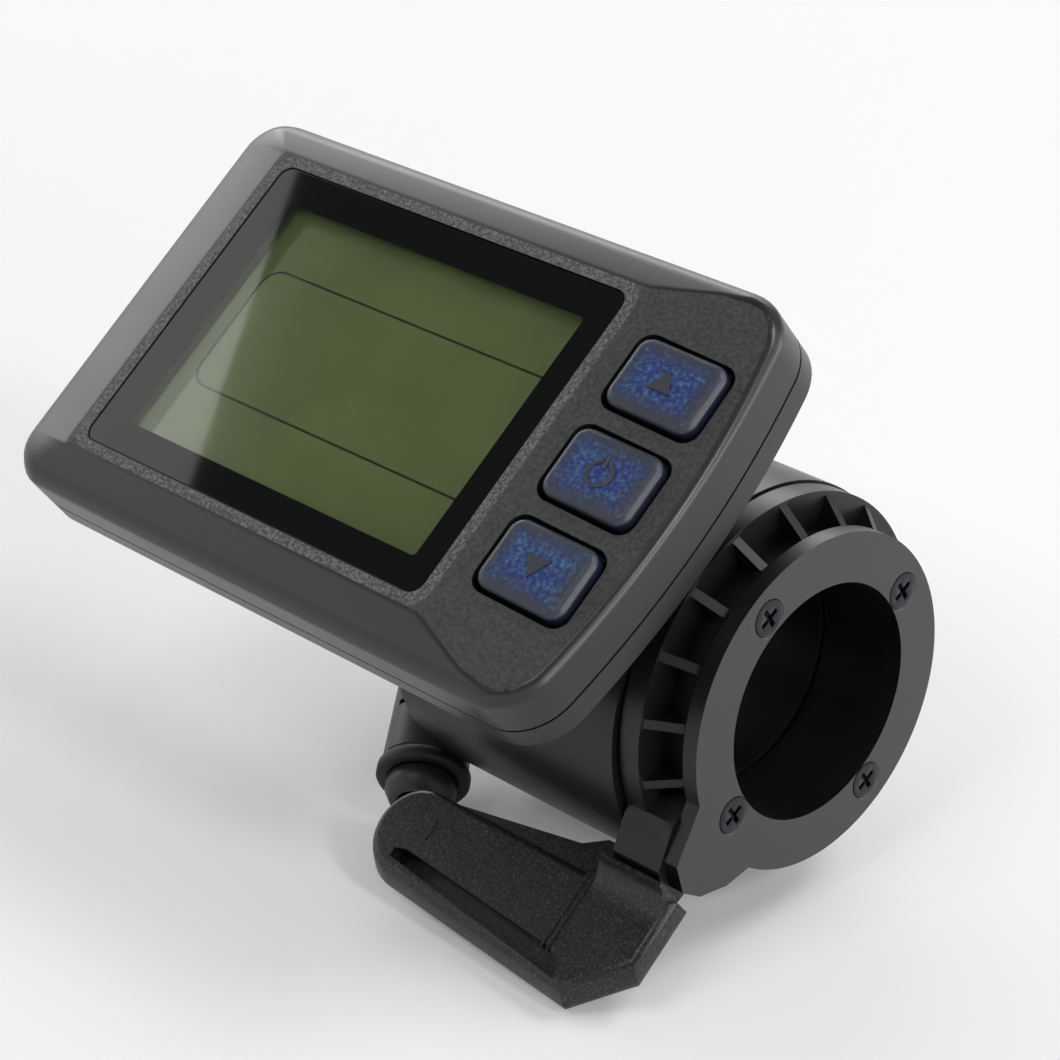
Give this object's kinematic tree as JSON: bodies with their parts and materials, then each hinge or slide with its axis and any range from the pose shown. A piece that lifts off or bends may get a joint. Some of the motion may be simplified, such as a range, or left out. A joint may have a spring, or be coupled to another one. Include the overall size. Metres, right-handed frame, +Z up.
{
  "type": "e-bike display",
  "caption": "Handlebar display head with a liquid crystal window and push buttons, on a round clamp housing with a sprung thumb throttle.",
  "frame": {"origin": "on the handlebar's axis, at the middle of the clamp sleeve", "axes": "+X along the handlebar, out of the throttle's end plate; +Z up; the rider sits on the -Y side and looks along +Y"},
  "size_m": [0.0772, 0.0509, 0.0576],
  "materials": {
    "housing_nylon": "fine spark-eroded grain",
    "lever_nylon": "coarse speckled grain",
    "plate_nylon": "satin",
    "case_plastic": "satin walls with a grained face",
    "black_steel": "blackened",
    "plated_steel": "zinc plated",
    "spring_steel": "drawn",
    "magnet_ferrite": "sintered",
    "bush_acetal": "machined",
    "gland_rubber": "moulded",
    "seal_rubber": "moulded",
    "strip_rubber": "striped",
    "membrane_rubber": "moulded",
    "button_silicone": "soft satin with a polished edge",
    "lens_glass": "polished",
    "lcd_glass": "polished",
    "guide_acrylic": "polished",
    "frame_plastic": "moulded",
    "board_laminate": "solder mask",
    "chip_epoxy": "moulded",
    "lead_jacket": "extruded",
    "switch_plastic": "moulded"
  },
  "bodies": {
    "housing": {"clamp_body": "housing_nylon", "clamp_screw": "black_steel", "throttle_housing": "housing_nylon", "housing_screws": "black_steel", "cable_gland": "gland_rubber", "gland_ring": "seal_rubber", "return_spring": "spring_steel", "hall_board": "board_laminate", "hall_sensor": "chip_epoxy", "sensor_leads": "lead_jacket", "saddle_seal": "seal_rubber", "saddle_screws": "plated_steel", "rear_shell": "case_plastic", "case_screws": "black_steel", "case_seal": "seal_rubber", "front_shell": "case_plastic", "window_lens": "lens_glass", "lcd_panel": "lcd_glass", "light_guide": "guide_acrylic", "lcd_frame": "frame_plastic", "contact_strip": "strip_rubber", "main_board": "board_laminate", "board_screws": "plated_steel", "controller_chip": "chip_epoxy", "tact_switches": "switch_plastic", "key_membrane": "membrane_rubber"},
    "throttle": {"throttle_lever": "lever_nylon", "end_plate": "plate_nylon", "plate_screws": "black_steel", "lever_bush": "bush_acetal", "retaining_ring": "spring_steel", "rotor_magnet": "magnet_ferrite"},
    "up_button": {"button_up": "button_silicone"},
    "power_button": {"button_power": "button_silicone"},
    "down_button": {"button_down": "button_silicone"}
  },
  "joints": [
    {"name": "throttle_turn", "type": "hinge", "parent": "housing", "child": "throttle", "pos_m": [0, 0, 0], "axis": [1, 0, 0], "range_deg": [0, 45], "stiffness_Nm_per_rad": 0.1, "springref_deg": -45.84},
    {"name": "up_press", "type": "slide", "parent": "housing", "child": "up_button", "axis": [0, 0.5592, -0.829], "range_m": [0, 0.0005], "stiffness_N_per_m": 1500, "springref_m": -0.0003},
    {"name": "power_press", "type": "slide", "parent": "housing", "child": "power_button", "axis": [0, 0.5592, -0.829], "range_m": [0, 0.0005], "stiffness_N_per_m": 1500, "springref_m": -0.0003},
    {"name": "down_press", "type": "slide", "parent": "housing", "child": "down_button", "axis": [0, 0.5592, -0.829], "range_m": [0, 0.0005], "stiffness_N_per_m": 1500, "springref_m": -0.0003}
  ]
}
